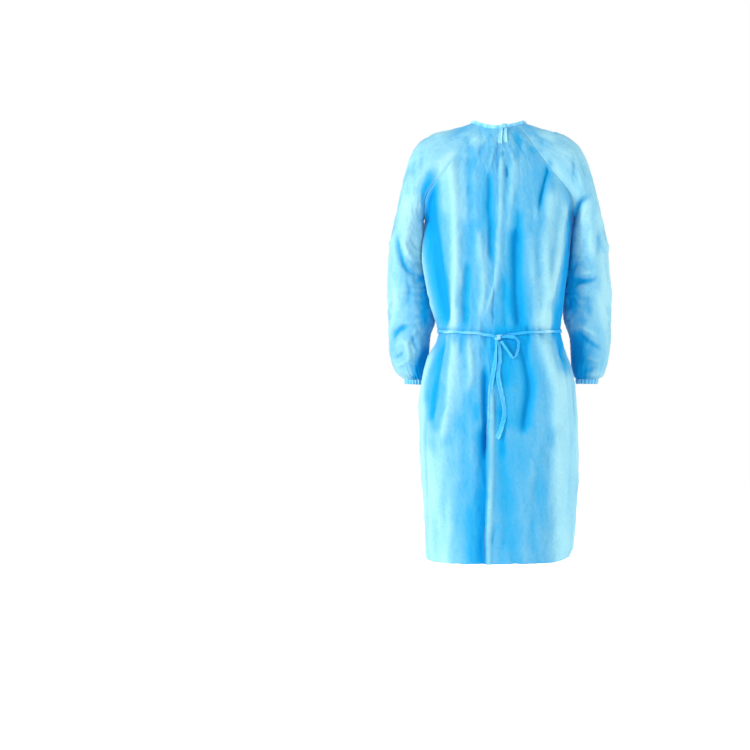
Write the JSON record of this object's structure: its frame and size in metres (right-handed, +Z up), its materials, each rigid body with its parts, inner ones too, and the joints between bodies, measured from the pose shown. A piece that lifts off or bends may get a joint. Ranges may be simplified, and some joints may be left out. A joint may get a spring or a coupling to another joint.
{
  "type": "isolation gown",
  "caption": "Disposable long-sleeved isolation gown in worn form, raglan sleeves, lapped open back tied at nape and waist.",
  "frame": {"origin": "middle of the neck opening, level with the nape", "axes": "+Z up, -Y towards the gown's front, +Y towards its back, +X to the wearer's left"},
  "size_m": [0.5887, 0.3103, 1.1366],
  "materials": {
    "body_cloth": "thin blue spun-bonded nonwoven, soft sheen, slightly see-through",
    "sleeve_cloth": "thin blue spun-bonded nonwoven, soft sheen, slightly see-through",
    "elastic_edge": "same cloth gathered on elastic",
    "binding": "folded strip of the same cloth",
    "tie_cloth": "folded strip of the same cloth, creased"
  },
  "bodies": {
    "root": {"front_panel": "body_cloth", "back_panel_left": "body_cloth", "back_panel_right": "body_cloth", "sleeve_left": "sleeve_cloth", "sleeve_right": "sleeve_cloth", "cuff_left": "elastic_edge", "cuff_right": "elastic_edge", "neck_binding": "binding", "neck_knot": "tie_cloth", "neck_tie_left": "tie_cloth", "neck_tie_right": "tie_cloth", "belt": "tie_cloth", "belt_knot": "tie_cloth", "belt_loop": "tie_cloth", "belt_tail_long": "tie_cloth", "belt_tail_short": "tie_cloth"}
  },
  "joints": []
}
